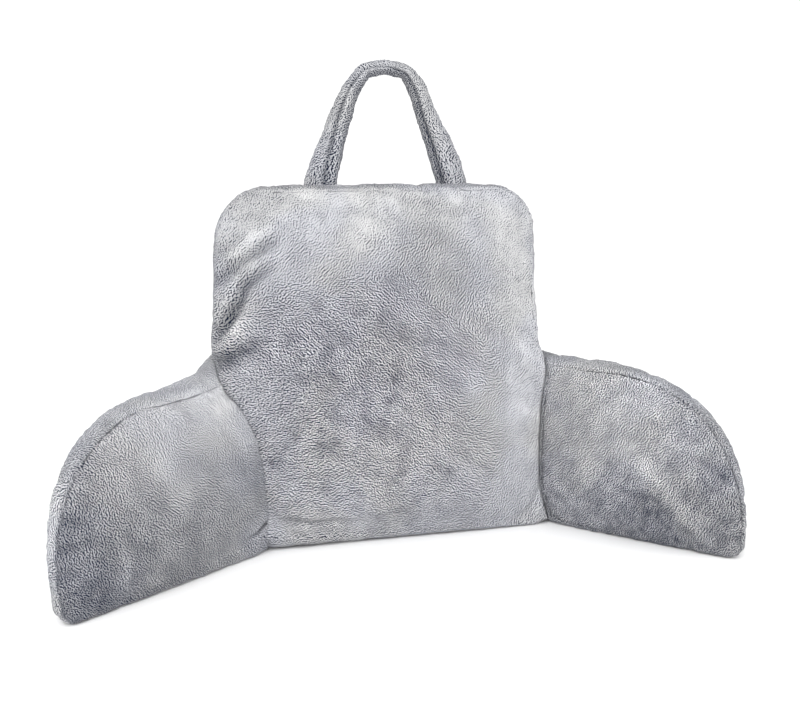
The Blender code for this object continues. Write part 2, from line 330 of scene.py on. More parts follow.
middle_of_front = back_points(np.array([0.5]), np.array([0.5]), np.array([0.0]))[0]
print("the middle of its front is at", middle_of_front.round(1), "mm")

# %% [markdown]
# ## The formula of an arm
# The arm could be a second backrest, turned and scaled, but its root has to lie against the backrest's
# leaning side with no gap. So it is drawn in its own plane first. Near the root it is then sheared until
# its end is the backrest's side, and the shear fades towards the toe.


# %% Shape an arm
def arm_points(label, along, up, deep, full=1.0):
    """Points of one arm: along from 0 at the root to 1 in front, up 0 to 1, deep 0 inside to 1 outside.

    A D drawn in the arm's own plane, thinner and leaning out further towards the front, turned
    forward by the arm's angle, and sheared near its root until it lies on the backrest's side.
    """
    side = -1 if label == "left" else 1
    turn = np.radians(ARM_ANGLE[label])
    length, height = ARM_LENGTH[label], ARM_HEIGHT[label]
    nose = (length, height, NOSE_LENGTH[label], height - NOSE_BELOW)
    flat = along * length, up * height
    s, z = round_corner(*flat, *nose)
    facing_s, facing_z = outward(*flat, *nose)
    s, under = round_corner(s, height - z, length, height, TOE_RADIUS, TOE_RADIUS)
    z = height - under
    row = smooth_table(ARM_ROWS, ARM_COLUMNS, s / length)
    z = z + row["armpit_share"] * (armpit_height(label, deep) - height) * smoothstep(0.6, 1, up)
    back = smooth_table(BACK_ROWS, BACK_COLUMNS, z)
    thick = back["depth"] * np.cos(turn) * row["thickness_share"]
    crease = np.where(along < 0.5, ROOT_CREASE[label], BOXED_EDGE)
    crown = rise(2 * along - 1, crease) * rise(2 * up - 1, BOXED_EDGE) * full
    inward = -ARM_CROWN * crown
    outside = thick + ARM_CROWN * crown
    offset = inward + (outside - inward) * deep
    at_root = 1 - s / length
    start = BACK_ROWS[0][BACK_COLUMNS.index(label)]
    flare = (side_half_width(label, z, deep) - start) * at_root
    lean = back["front_y"] * at_root
    from_root = s
    s = s + flare * np.cos(turn) - lean * np.sin(turn) - thick * deep * np.tan(turn) * (1 - along)
    outwards = z + TOE_PLUMP * (np.exp(-z / TOE_PLUMP) - TOE_SETTLE)
    offset = offset + flare * np.sin(turn) + lean * np.cos(turn) + row["lean"] * outwards * (1 - at_root)
    border = np.isclose(along, 1) | np.isclose(up, 1)
    bulge = row["bulge"] * middle(deep) * border * full
    bulge = bulge * np.clip(z / BULGE_ABOVE_FLOOR, 0, 1) * np.clip(along * 5, 0, 1)
    s = s + bulge * facing_s
    root_lift, toe_lift = ARM_ROLL[label]
    rolled = roll(deep, np.maximum(thick, ARM_ROLL_THINNEST), ARM_ROLL_RADIUS)
    lift = root_lift + (toe_lift - root_lift) * (1 - at_root)
    lift = lift * (1 - np.where(np.isclose(up, 0), rolled, 0))
    lift = lift + notch(from_root, deep)
    z = z + bulge * facing_z + lift * (1 - smoothstep(0, ARM_ROLL_FADE, z))
    x = side * (start - ROOT_LAP[label] + s * np.cos(turn) + offset * np.sin(turn))
    y = -s * np.sin(turn) + offset * np.cos(turn)
    return np.stack([x, y, z], -1)


for label in ARM_LENGTH:
    toe = arm_points(label, np.array([1.0]), np.array([0.0]), np.array([0.5]))[0]
    print("the toe of the", label, "arm is at", toe.round(1), "mm")

# %% [markdown]
# ## From points to a piece
# A piece keeps its stations as an attribute, because the later steps ask where on the cushion a point
# is. Its object stays at the origin, with its place in its mesh, as the frame's nodes have it.


# %% Pieces
def place(points):
    """Metres from the origin, from millimetres measured from the backrest's front bottom edge."""
    return (points - (0.0, BASE_MIDDLE, 0.0)) * MM


def make_piece(name, points, quads, where, sides):
    """A smooth mesh object from points in millimetres, which keeps each point's stations and each side."""
    mesh = bpy.data.meshes.new(name)
    mesh.from_pydata(place(points), [], quads)
    mesh.polygons.foreach_set("use_smooth", np.ones(len(quads), bool))
    mesh.attributes.new("where", "FLOAT_VECTOR", "POINT").data.foreach_set("vector", where.ravel())
    mesh.attributes.new("side", "INT", "FACE").data.foreach_set("value", sides.astype(np.int32))
    piece = bpy.data.objects.new(name, mesh)
    bpy.context.scene.collection.objects.link(piece)
    return piece


def read(piece, name="position", kind="vector"):
    """One attribute of a piece as an array: three columns for a vector, one for a value."""
    data = piece.data.attributes[name].data
    wide = 3 if kind == "vector" else 1
    found = np.empty(len(data) * wide, np.int32 if name == "side" else np.float32)
    data.foreach_get(kind, found)
    return found.reshape(-1, 3) if wide == 3 else found


def write_points(piece, points):
    """Puts points in metres back into a piece."""
    piece.data.vertices.foreach_set("co", points.astype(np.float32).ravel())
    piece.data.update()


def normals(piece):
    """The direction in which each point of a piece faces."""
    found = np.empty(len(piece.data.vertices) * 3, np.float32)
    piece.data.vertex_normals.foreach_get("vector", found)
    return found.reshape(-1, 3)


print("a point on the backrest's front edge comes to", place(np.zeros(3)), "m")

# %% [markdown]
# ## The filling swells the cover
# Stuffing presses on the cloth from inside while the seams hold it. Blender's Cloth does the same: its
# pressure pushes the panels out, the seams, the base and the sewn sides are pinned, and the slack that
# gathers along a seam becomes its small puckers. The grid is already even, at about 5 mm, so it needs no
# remesh. No point may move further than a cap, so that the pillow keeps its size.

# %% Swell
# A light knitted cover: it folds far more easily than it stretches.
COVER = {"quality": 5, "mass": 0.3, "tension_stiffness": 15, "compression_stiffness": 6,
         "shear_stiffness": 5, "bending_stiffness": 0.3}
PRESSURE, SLACK, FRAMES = 4.0, 0.02, 20


def swell(piece, held, cap):
    """Runs Cloth on a piece and keeps its result, each point moving no further than cap millimetres."""
    before = read(piece)
    pins = piece.vertex_groups.new(name="held")
    pins.add(np.flatnonzero(held).tolist(), 1.0, "REPLACE")
    cloth = piece.modifiers.new("swelling", "CLOTH")
    cover = cloth.settings
    for setting, value in COVER.items():
        setattr(cover, setting, value)
    cover.shrink_min = -SLACK
    cover.vertex_group_mass = "held"
    cover.use_pressure = True
    cover.uniform_pressure_force = PRESSURE
    cover.effector_weights.gravity = 0
    cloth.collision_settings.use_collision = False
    scene = bpy.context.scene
    for frame_number in range(1, FRAMES + 1):
        scene.frame_set(frame_number)
    swollen = piece.evaluated_get(bpy.context.evaluated_depsgraph_get()).data
    after = np.empty(before.size, np.float32)
    swollen.vertices.foreach_get("co", after)
    piece.modifiers.remove(cloth)
    piece.vertex_groups.clear()
    scene.frame_set(1)
    move = after.reshape(-1, 3) - before
    far = np.linalg.norm(move, axis=1)
    move *= np.minimum(1, cap * MM / np.maximum(far, 1e-9))[:, None]
    write_points(piece, before + move)
    print(piece.name, "would swell by", round(far.max() / MM, 1), "mm and is held to", cap, "mm")


def refine(piece):
    """Rounds a piece off with one level of Subdivision Surface and applies it."""
    soft = piece.modifiers.new("rounding", "SUBSURF")
    soft.levels = soft.render_levels = 1
    finer = bpy.data.meshes.new_from_object(piece.evaluated_get(bpy.context.evaluated_depsgraph_get()))
    piece.modifiers.remove(soft)
    old, piece.data = piece.data, finer
    bpy.data.meshes.remove(old)
    finer.name = piece.name


print("Cloth runs for", FRAMES, "frames")

# %% [markdown]
# ## Sew the three big cushions
# The covers are cut from one bolt of plush: a backrest and a pair of arms. The arms could be one mesh
# and its mirror image, but they aren't quite alike, so one formula draws both from their own numbers.
# Where Cloth will fill the covers, they start with nine tenths of their crown.

# %% Sew the three big cushions
BACK_GRID = (81, 85, 23)
ARM_GRID = (69, 57, 19)
FULL = 0.9
where, quads, sides = box_grid(*(stations(n) for n in BACK_GRID))
backrest = make_piece("backrest_cushion", back_points(*where.T, full=FULL), quads[:, ::-1], where, sides)
arms = {}
where, quads, sides = box_grid(*(stations(n) for n in ARM_GRID))
for label in ("left", "right"):
    points = arm_points(label, *where.T, full=FULL)
    outwards = quads[:, ::-1] if label == "right" else quads
    arms[label] = make_piece("arm_" + label + "_cushion", points, outwards, where, sides)
    arms[label]["label"] = label
cushions = [backrest, *arms.values()]
for piece in cushions:
    print(piece.name, "has", len(piece.data.polygons), "faces")

# %% [markdown]
# ## The carry loop
# The loop is a stuffed tube bent into an arch and sewn into the top of the backrest. Its centre line is
# read from a table, from one foot to the other, and an ellipse is carried along it, wide across the legs
# at the feet and thicker through at the top. The last ring sinks a little way into the top gusset, where
# the stitches pull it in.

# %% Make the loop
# Each row: x, rise above the backrest's top, width across the leg, thickness through.
LOOP_ROWS = (
    (-82.5, -13.0, 44.0, 18.0),
    (-79.0, 0.0, 46.0, 20.0),
    (-70.0, 30.0, 42.0, 23.0),
    (-56.5, 66.0, 34.0, 26.0),
    (-45.0, 98.0, 31.0, 28.0),
    (-30.0, 132.0, 25.0, 30.0),
    (-10.0, 158.0, 21.0, 31.0),
    (18.0, 164.0, 19.0, 31.0),
    (49.0, 159.0, 20.0, 31.0),
    (65.0, 136.0, 26.0, 30.0),
    (77.0, 98.0, 30.0, 28.0),
    (91.0, 66.0, 37.0, 26.0),
    (104.0, 30.0, 43.5, 23.0),
    (111.5, 0.0, 44.0, 20.0),
    (115.0, -13.0, 42.0, 18.0),
)
LOOP_LEAN = 0.10            # it leans back by a tenth of its rise
LOOP_SINK = 2.5
LOOP_RINGS, LOOP_SIDES = 121, 32
LOOP_SMOOTHINGS = 40        # rounds of averaging that take the corners out of the centre line


def loop_points():
    """Rings of the loop, and its two end points: centre + across cos(angle) a/2 + through sin(angle) b/2."""
    whole = np.array(LOOP_ROWS)
    run = np.concatenate([[0], np.cumsum(np.hypot(*np.diff(whole[:, :2], axis=0).T))])
    at = np.linspace(0, run[-1], 4 * LOOP_RINGS)
    line = np.stack([np.interp(at, run, column) for column in whole.T], -1)
    for _ in range(LOOP_SMOOTHINGS):
        line[1:-1] = 0.25 * line[:-2] + 0.5 * line[1:-1] + 0.25 * line[2:]
    line = line[np.linspace(0, len(line) - 1, LOOP_RINGS).round().astype(int)]
    top = smooth_table(BACK_ROWS, BACK_COLUMNS, np.array(BACK_HEIGHT))
    foot_y = top["front_y"] + 0.5 * top["depth"]
    centre = np.stack([line[:, 0], foot_y + LOOP_LEAN * line[:, 1],
                       BACK_HEIGHT + BACK_TOP_BULGE - LOOP_SINK + line[:, 1]], -1)
    along = np.gradient(centre, axis=0)
    through = np.array([0.0, 1.0, LOOP_LEAN]) / math.hypot(1.0, LOOP_LEAN)
    across = np.cross(through, along)
    across /= np.linalg.norm(across, axis=1)[:, None]
    angle = np.linspace(0, 2 * np.pi, LOOP_SIDES, endpoint=False)
    rings = (centre[:, None]
             + across[:, None] * (np.cos(angle) * 0.5 * line[:, 2:3])[..., None]
             + through * (np.sin(angle) * 0.5 * line[:, 3:4])[..., None])
    return np.concatenate([rings.reshape(-1, 3), rings[0].mean(0)[None], rings[-1].mean(0)[None]])


def tube_quads(rings, around):
    """Quads between neighbouring rings, and a fan of triangles from each end ring to its end point."""
    i = np.arange(around)
    j = (i + 1) % around
    low = np.arange(rings - 1)[:, None] * around
    walls = np.stack([low + i, low + j, low + around + j, low + around + i], -1).reshape(-1, 4)
    last, end = (rings - 1) * around, rings * around
    fans = np.concatenate([np.stack([np.full(around, end), j, i], -1),
                           np.stack([np.full(around, end + 1), last + i, last + j], -1)])
    return walls.tolist() + fans.tolist()


loop_where = np.zeros((LOOP_RINGS * LOOP_SIDES + 2, 3))
loop_where[:-2, 0] = np.repeat(np.linspace(0, 1, LOOP_RINGS), LOOP_SIDES)
around = np.tile(np.arange(LOOP_SIDES) * 2 * np.pi / LOOP_SIDES, LOOP_RINGS)
loop_where[:-2, 1], loop_where[:-2, 2] = np.cos(around), np.sin(around)
loop_where[-1, 0] = 1.0
loop_faces = tube_quads(LOOP_RINGS, LOOP_SIDES)
loop = make_piece("carry_loop", loop_points(), loop_faces, loop_where, np.zeros(len(loop_faces)))
print("the loop rises", round(read(loop)[:, 2].max() / MM - BACK_HEIGHT), "mm")

# %% [markdown]
# ## Fill them
# Fibre is blown in through a gap that is sewn up last. The stitched lines don't give, the base is
# pressed flat by the floor, and the arms hold the backrest's sides up to the armpits. Everything else
# may swell. One level of subdivision then takes the facets out of all four pieces.

# %% Swell and round off
CAPS = {backrest: 14, arms["left"]: 10, arms["right"]: 10}
ON_FLOOR = 0.5 * MM


def on_seam(piece):
    """Whether each point lies on a stitched line of a cushion, where its panels meet its gusset."""
    across, up, deep = read(piece, "where").T
    edge = [np.isclose(station, end) for station in (across, up) for end in (0, 1)]
    return (np.isclose(deep, 0) | np.isclose(deep, 1)) & np.any(edge, axis=0)


for piece, cap in CAPS.items():
    across, height = read(piece, "where")[:, 0], read(piece)[:, 2]
    root = np.isclose(across, 0)
    if piece is backrest:
        root = (root | np.isclose(across, 1)) & (height < ARMPIT_HEIGHT["right"] * MM)
    swell(piece, on_seam(piece) | (height < ON_FLOOR) | root, cap)
for piece in cushions + [loop]:
    refine(piece)
    print(piece.name, "now has", len(piece.data.vertices), "points")

# %% [markdown]
# ## Seams pull in and the plush is worn
# Three things happen to a sewn plush cover. Stitches pull each seam into a narrow valley. Dragging and
# stuffing leave folds in the panels. And hands brush the pile one way or another: where it lies flat the
# cloth is pale and smooth, where it stands it parts into short dark strokes. Folds and seams are real
# dents in the mesh, and painted shade darkens them as well. The pile is a material, steered by a few
# values kept on the points.


# %% Helpers for marks on the cloth
def field(points, size, seed, waves=32):
    """A smooth random value about -1 to 1: the sum of sine waves in random directions, near that length."""
    random = np.random.default_rng(seed)
    ways = random.normal(size=(points.shape[1], waves))
    ways *= 2 * np.pi / size * random.uniform(0.6, 1.4, waves) / np.linalg.norm(ways, axis=0)
    return np.sin(points @ ways + random.uniform(0, 2 * np.pi, waves)).sum(1) / math.sqrt(waves)


def fields(points, *rows):
    """The sum of several fields. Each row has an amount, a size in mm and a seed."""
    return sum(amount * field(points, size, seed) for amount, size, seed in rows)


def nearest(points, others, share=4000):
    """How far each point is from the nearest of the others: sqrt(p.p + q.q - 2 p.q), a share at a time."""
    others = others.astype(np.float32)
    squares = (others * others).sum(1)
    found = []
    for p in np.array_split(points.astype(np.float32), max(1, len(points) // share)):
        apart = (p * p).sum(1)[:, None] + squares - 2 * p @ others.T
        found.append(np.sqrt(np.maximum(apart.min(1), 0)))
    return np.concatenate(found)


def line_distance(points, line):
    """The distance from flat points to a line of straight stretches, and how far along it, 0 to 1."""
    best = np.full(len(points), np.inf)
    at = np.zeros(len(points))
    line = np.array(line, float)
    for k, (a, b) in enumerate(zip(line[:-1], line[1:])):
        t = np.clip(((points - a) @ (b - a)) / ((b - a) @ (b - a)), 0, 1)
        away = np.linalg.norm(points - a - t[:, None] * (b - a), axis=1)
        at = np.where(away < best, (k + t) / (len(line) - 1), at)
        best = np.minimum(best, away)
    return best, at


def flat_places(piece):
    """Where each point lies on the flat pattern of its panels, in mm: from the middle or root, and up."""
    across, up, deep = read(piece, "where").T.astype(float)
    if piece is backrest:
        reach = np.where(across < 0.5, BACK_CORNER["left"], BACK_CORNER["right"])
        flat = np.abs(2 * across - 1) * BACK_WIDE, up * BACK_HEIGHT
        x, z = round_corner(*flat, BACK_WIDE, BACK_HEIGHT, reach, reach)
        return np.sign(across - 0.5) * x, z, deep
    label = piece["label"]
    length, height = ARM_LENGTH[label], ARM_HEIGHT[label]
    flat = across * length, up * height
    s, z = round_corner(*flat, length, height, NOSE_LENGTH[label], height - NOSE_BELOW)
    return s, z, deep


for piece in cushions:
    print(piece.name, "has", np.count_nonzero(on_seam(piece)), "points on its stitched lines")

# %% [markdown]
# ## Folds, as rows of a pattern
# Folds aren't random: they run from where the cloth is pulled. The upper left of the backrest is pushed
# in, and the toes of the arms pucker where the gusset turns a tight corner. Each row has
# the line of a fold on the flat panel, as (x, z) places in mm, how deep it is, and how wide. A depth
# below zero is a ridge.

# %% Folds
FRONT_FOLDS = (
    (((-214, 350), (-188, 370), (-160, 393), (-115, 425)), -2.4, 10.0),
    (((-236, 322), (-195, 349), (-158, 374), (-130, 384)), 4.5, 8.0),
    (((-240, 236), (-207, 276), (-188, 307), (-176, 332), (-158, 344), (-138, 350)), 8.0, 8.0),
    (((-236, 236), (-199, 266), (-178, 284), (-166, 304)), -3.5, 10.0),
    (((-236, 228), (-201, 241), (-170, 256), (-148, 262)), 5.5, 9.0),
    (((-200, 205), (-180, 223), (-141, 246)), -2.5, 10.0),
    (((-20, 452), (-16, 420), (-22, 396)), 1.6, 5.0),
    (((-2, 452), (4, 424), (2, 402)), 1.4, 4.0),
    (((26, 452), (24, 428), (30, 408)), 1.6, 5.0),
    (((62, 452), (58, 430), (64, 410)), 1.2, 5.0),
    (((146, 60), (142, 86), (150, 112)), 1.6, 5.0),
    (((-182, 34), (-150, 26), (-110, 30), (-66, 24)), 3.0, 6.0),
    (((-186, 12), (-168, 20), (-150, 12)), -2.5, 8.0),
)
LEFT_FOLDS = (
    (((150, 62), (120, 70), (84, 66)), 2.2, 6.0),
    (((215, 150), (196, 128), (182, 100)), 1.8, 7.0),
    (((-10, 34), (14, 24), (34, 8)), 4.0, 7.0),
    (((262, 112), (240, 104), (212, 98)), 2.4, 4.5),
    (((264, 84), (242, 80), (216, 82)), 2.6, 4.5),
    (((264, 58), (246, 56), (224, 60)), 2.0, 4.5),
    (((262, 36), (244, 36), (226, 40)), 1.4, 4.5),
    (((196, 14), (192, 50), (198, 88)), -3.2, 6.0),
    (((160, 14), (158, 40), (150, 62)), -1.4, 7.0),
)
RIGHT_FOLDS = (
    (((50, 150), (66, 120), (70, 96)), 1.2, 6.0),
    (((118, 112), (150, 84), (182, 52), (214, 10)), -6.0, 11.0),
    (((96, 84), (124, 56), (160, 22)), 3.0, 14.0),
    (((228, 120), (214, 92), (222, 60)), 2.0, 9.0),
    (((250, 96), (232, 92), (214, 90)), 1.2, 4.5),
    (((250, 66), (232, 62), (214, 62)), 1.2, 4.5),
)
print("folds on the backrest and the arms:", len(FRONT_FOLDS), len(LEFT_FOLDS), len(RIGHT_FOLDS))

# %% [markdown]
# ## The pile, as spots on the panels
# A hand that strokes plush leaves pale and dark fields with soft borders. A random pattern would spread
# them evenly. Here each row is a spot on the flat panel: x, z and reach in mm, how pale it is, how far
# the pile is parted, and the angle of its strokes. Every point of the cloth mixes the spots around it.
# How pale a spot is also carries painted light: the spots are paler high up, where the light falls,
# and darker low down, and a pale spot at the left arm's root paints light over the crease there.

# %% Brushed spots, with painted light
# Each row: x, z, reach, how pale (brushed pile and painted light), parting, stroke angle.
FRONT_BRUSH_AND_SHADE = (
    (-40, 395, 46, 0.74, 0.07, 60), (-149, 414, 40, 0.54, 0.08, 60), (165, 414, 42, 0.70, 0.08, 55),
    (90, 405, 36, 0.56, 0.09, 60), (-100, 350, 35, 0.56, 0.22, 30), (-190, 320, 28, 0.24, 0.20, 50),
    (60, 350, 34, 0.28, 0.34, 50), (178, 307, 38, 0.84, 0.10, 60), (110, 320, 30, 0.42, 0.28, 60),
    (21, 290, 38, -0.48, 1.10, -38), (-97, 257, 38, -0.50, 1.10, -34), (-50, 200, 38, -0.68, 1.25, -36),
    (40, 215, 36, -0.52, 1.25, -38), (-116, 132, 40, -0.38, 1.45, -8), (-18, 130, 40, -0.40, 1.45, -34),
    (73, 94, 36, -0.32, 1.40, -32), (146, 220, 38, 0.96, 0.14, 45), (172, 107, 38, 1.04, 0.16, 46),
    (-180, 200, 22, 0.58, 0.22, -20), (-205, 246, 18, -0.30, 0.60, -30), (-172, 284, 14, 0.42, 0.14, -30),
    (34, 20, 28, 0.36, 0.60, 20), (-120, 25, 28, 0.40, 0.60, 0), (150, 25, 28, 0.66, 0.34, 60),
    (99, 245, 30, 0.08, 0.70, -42),
)
LEFT_BRUSH_AND_SHADE = (
    (0, 170, 18, 1.00, 0.12, 80), (40, 185, 30, 0.94, 0.16, 80), (110, 180, 32, 0.82, 0.20, 75),
    (90, 130, 32, 0.30, 0.38, 60), (185, 140, 30, 0.18, 0.40, 65), (30, 90, 34, -0.12, 0.44, 55),
    (110, 80, 32, -0.26, 0.40, 60), (215, 80, 34, -0.60, 0.50, 75), (50, 25, 28, 0.06, 0.46, 60),
    (130, 25, 28, -0.42, 0.50, 65), (172, 30, 15, -0.20, 0.55, 70), (225, 22, 28, -0.78, 0.52, 60),
)
RIGHT_BRUSH_AND_SHADE = (
    (-4, 208, 18, 0.90, 0.35, 60), (15, 185, 30, 0.07, 0.90, 60), (90, 180, 32, 0.47, 0.95, 66),
    (30, 120, 32, -0.41, 1.25, 55), (35, 60, 32, -0.63, 1.31, 58), (110, 115, 32, 0.03, 1.25, 60),
    (45, 20, 28, -0.71, 1.31, 60), (120, 32, 30, -1.32, 1.19, 60), (205, 50, 22, -0.77, 1.00, 65),
    (170, 115, 30, -0.17, 0.94, 65), (228, 80, 26, -0.97, 1.19, 65), (222, 20, 26, -0.87, 1.19, 60),
)
print("spots on the backrest and the arms:", len(FRONT_BRUSH_AND_SHADE), len(LEFT_BRUSH_AND_SHADE), len(RIGHT_BRUSH_AND_SHADE))

# %% [markdown]
# ## How plainly a seam shows
# A seam under plush is a dark line where the pile stands away from it, and is lost where the pile lies
# over it. The dark is painted shade of the seam's groove. So each row is a spot again: x, z and reach in
# mm, and how plainly the seam shows there.

# %% Where the seams show
FRONT_SEAMS = (
    (-217, 330, 90, 0.05), (-140, 452, 30, 1.00), (-60, 452, 40, 0.45), (60, 452, 50, 0.50),
    (170, 440, 30, 1.00), (213, 385, 34, 0.15), (210, 305, 34, 2.20), (210, 225, 24, 0.10),
    (205, 120, 70, 1.00), (-180, 100, 90, 0.10), (-120, 0, 50, 0.0), (0, 0, 60, 0.0), (120, 0, 50, 0.0),
)
LEFT_SEAMS = (
    (0, 100, 60, 0.10), (70, 200, 45, 0.80), (150, 185, 40, 0.90), (210, 130, 30, 0.70),
    (255, 60, 60, 0.15), (130, 0, 60, 0.05),
)
RIGHT_SEAMS = (
    (0, 100, 70, 1.00), (0, 205, 18, 0.10), (55, 206, 40, 1.40), (150, 185, 40, 0.85),
    (240, 80, 60, 0.75), (130, 0, 60, 0.10),
)


def blend(points, rows):
    """The later columns of a table of spots at flat points.

    Each row weighs exp(-d^2 / (2 reach^2)) at a distance d from its spot.
    """
    rows = np.array(rows, float)
    away = ((points[:, None] - rows[None, :, :2]) ** 2).sum(2)
    weight = np.exp(-away / (2 * rows[:, 2] ** 2)) + 1e-9
    return (weight / weight.sum(1)[:, None]) @ rows[:, 3:]


shown = blend(np.array([[210.0, 305.0], [0.0, 0.0]]), FRONT_SEAMS)[:, 0]
print("the seam shows by", shown.round(2), "half way up the right edge and at the bottom")

# %% [markdown]
# ## Work the marks in
# Pulling thread tight leaves a groove about 3 mm wide, and a fold a wider trough with a low swelling
# beside it. Both are carved as real dents, which catch the light and shade themselves, and a fold's
# tone also gets painted shade in its trough and painted light on its ridge and swelling. The pile's
# values are blended from the spots in front, and are plain and a little random round the sides and rear.

# %% Strokes and grooves
SEAM_DEEP, SEAM_WIDE, SEAM_HIDDEN, SEAM_MOST = 3.8, 2.8, 0.05, 1.3
# FOLD_SHADE: painted shade in a fold's trough and painted light on its ridge.
FOLD_SHOULDER, SHOULDER_AWAY, FOLD_SHADE = 0.45, 1.7, 0.10
FOLD_BEGINS, FOLD_FADES = 0.12, 0.7
FRONT_ENDS = (0.02, 0.2)        # between these depths the front's marks fade out on the gusset
PARTED_RANGE = (0.06, 1.7)
# Uneven stuffing and pile: amount, size in mm and seed of each random field.
ROUGH = ((0.35, 24, 5), (0.40, 8, 6))
TONE_VARIES = ((0.13, 45, 31), (0.09, 18, 32))
PARTING_VARIES = ((0.25, 30, 33), (0.25, 12, 35))
TURN_VARIES = (0.16, 40, 34)
PLAIN_TONE, PLAIN_PARTING, PLAIN_SWIRL = (0.2, 90, 21), (0.15, 70, 22), (2, 160, 23)
BORDERS_WANDER = ((9, 60, 11), (9, 60, 12))     # so that no spot is round


def double_angle(values):
    """Tone, parting, and the cosine and sine of twice the angle, so that 0 and 180 degrees are one."""
    double = np.radians(2 * values[:, 2])
    return np.stack([values[:, 0], values[:, 1], np.cos(double), np.sin(double)], -1)


def spots(rows):
    """A brush table whose angle has become the two parts of its double, ready to blend."""
    rows = np.array(rows, float)
    return np.concatenate([rows[:, :3], double_angle(rows[:, 3:])], 1)


def fold_depths(flat, folds):
    """How deep the folds are at flat points.

    With e(t) = exp(-t^2), a fold is e(away/wide) - 0.45 e(away/wide - 1.7) across, the swelling beside
    the trough included, and a power of a sine along, which fades it out towards its far end.
    """
    total = 0.0
    for line, depth, wide in folds:
        away, at = line_distance(flat, line)
        fade = np.sin(np.pi * np.clip(FOLD_BEGINS + (1 - FOLD_BEGINS) * at, 0, 1)) ** FOLD_FADES
        trough = np.exp(-(away / wide) ** 2)
        shoulder = np.exp(-((away - SHOULDER_AWAY * wide) / wide) ** 2)
        total = total + depth * fade * (trough - FOLD_SHOULDER * shoulder)
    return total


def pile_values(size_mm, flat, brush_and_shade, inner, edge_tone):
    """Tone, parting and stroke angle: blended from the spots in front, plain and a little random behind."""
    wander = np.stack([fields(size_mm, row) for row in BORDERS_WANDER], -1)
    front = blend(flat + wander, spots(brush_and_shade))
    swirl = fields(size_mm, PLAIN_SWIRL)
    plain = np.stack([edge_tone + fields(size_mm, PLAIN_TONE), 0.5 + fields(size_mm, PLAIN_PARTING),
                      np.cos(swirl), np.sin(swirl)], -1)
    tone, parted, cosine, sine = (front * inner[:, None] + plain * (1 - inner)[:, None]).T
    tone = tone + fields(size_mm, *TONE_VARIES)
    parted = parted * (1 + fields(size_mm, *PARTING_VARIES))
    return tone, parted, 0.5 * np.arctan2(sine, cosine) + fields(size_mm, TURN_VARIES)


def dress(piece, folds, brush_and_shade, seams, edge_tone, extra_seam, mirror=False):
    """Carves seams and folds into a cushion and writes the values that steer its pile, with painted shade in
    folds.
    """
    x, z, deep = flat_places(piece)
    flat = np.stack([x, z], -1)
    points = read(piece).astype(float)
    size_mm = points / MM
    seam_mm = nearest(size_mm, np.concatenate([points[on_seam(piece)], extra_seam]) / MM)
    shows = blend(flat, seams)[:, 0]
    groove = SEAM_HIDDEN + (1 - SEAM_HIDDEN) * np.minimum(shows, SEAM_MOST)
    dent = SEAM_DEEP * groove * np.exp(-(seam_mm / SEAM_WIDE) ** 2)
    inner = 1 - smoothstep(*FRONT_ENDS, deep)
    folded = fold_depths(flat, folds) * inner
    points -= normals(piece) * ((dent + folded + fields(size_mm, *ROUGH)) * MM)[:, None]
    points[:, 2] = np.maximum(points[:, 2], 0)
    write_points(piece, points)
    tone, parted, turn = pile_values(size_mm, flat, brush_and_shade, inner, edge_tone)
    # The tone takes painted shade in fold troughs and painted light on fold ridges.
    keep_pile(piece, tone - FOLD_SHADE * folded, parted, -turn if mirror else turn, seam_mm, shows)
    print(f"{piece.name}: grooves to {dent.max():.1f} mm, folds to {folded.max():.1f} mm")


def keep_pile(piece, tone, parted, turn, seam_mm, shows):
    """Keeps the pile's values on the points.

    "pile" holds tone, parting, distance to the nearest seam and how plainly that seam shows, and
    "strokes" how much of each of four stroke directions there is: 0, 45, 90 and 135 degrees.
    """
    pile = np.stack([0.5 + 0.5 * tone, np.clip(parted, *PARTED_RANGE),
                     np.clip(seam_mm / 10, 0, 1), shows], -1)
    c, s = np.cos(2 * turn), np.sin(2 * turn)
    strokes = np.clip(np.stack([c, s, -c, -s], -1), 0, None)
    for name, values in (("pile", pile), ("strokes", strokes)):
        made = piece.data.attributes.new(name, "FLOAT_COLOR", "POINT")
        made.data.foreach_set("color", values.astype(np.float32).ravel())


same = double_angle(np.array([[0, 0, 90], [0, 0, 270]]))[:, 2:]
print("strokes at 90 and at 270 degrees are kept as", *same.round(2))

# %% [markdown]
# ## Lay the cloth out
# The strokes have to run on over the seams with no stretching, as they do where the panels were cut from
# one length of plush. So each panel's flat pattern is its UV map, and each gusset carries on where the
# front panel ends, by the length of cloth from there.

# %% Flat patterns
def corners(piece):
    """The point of every face corner, and the face it belongs to."""
    of_point = np.empty(len(piece.data.loops), np.int32)
    piece.data.loops.foreach_get("vertex_index", of_point)
    sizes = np.empty(len(piece.data.polygons), np.int32)
    piece.data.polygons.foreach_get("loop_total", sizes)
    return of_point, np.repeat(np.arange(len(sizes)), sizes)


def lay_cloth(piece, u, v, finer=1.0):
    """Writes the UV map "cloth", in metres, from millimetres at every face corner."""
    layer = piece.data.uv_layers.new(name="cloth")
    layer.data.foreach_set("uv", (np.stack([u, v], -1) * MM * finer).astype(np.float32).ravel())


def strip_run(piece):
    """How far along the cloth each point of a gusset is from the front seam, in mm.

    Points that share their first two stations stand in one line from front to rear. The steps
    between neighbours in that line are added up.
    """
    where, points = read(piece, "where").astype(float), read(piece) / MM
    line = np.round(where[:, :2] * 2e4).astype(int)
    order = np.lexsort((where[:, 2], line[:, 1], line[:, 0]))
    step = np.linalg.norm(np.diff(points[order], axis=0), axis=1)
    same = (np.diff(line[order], axis=0) == 0).all(1)
    total = np.concatenate([[0], np.cumsum(np.where(same, step, 0))])
    begins = np.concatenate([[True], ~same])
    start = total[begins][np.cumsum(begins) - 1]
    run = np.empty(len(points))
    run[order] = total - start
    return run


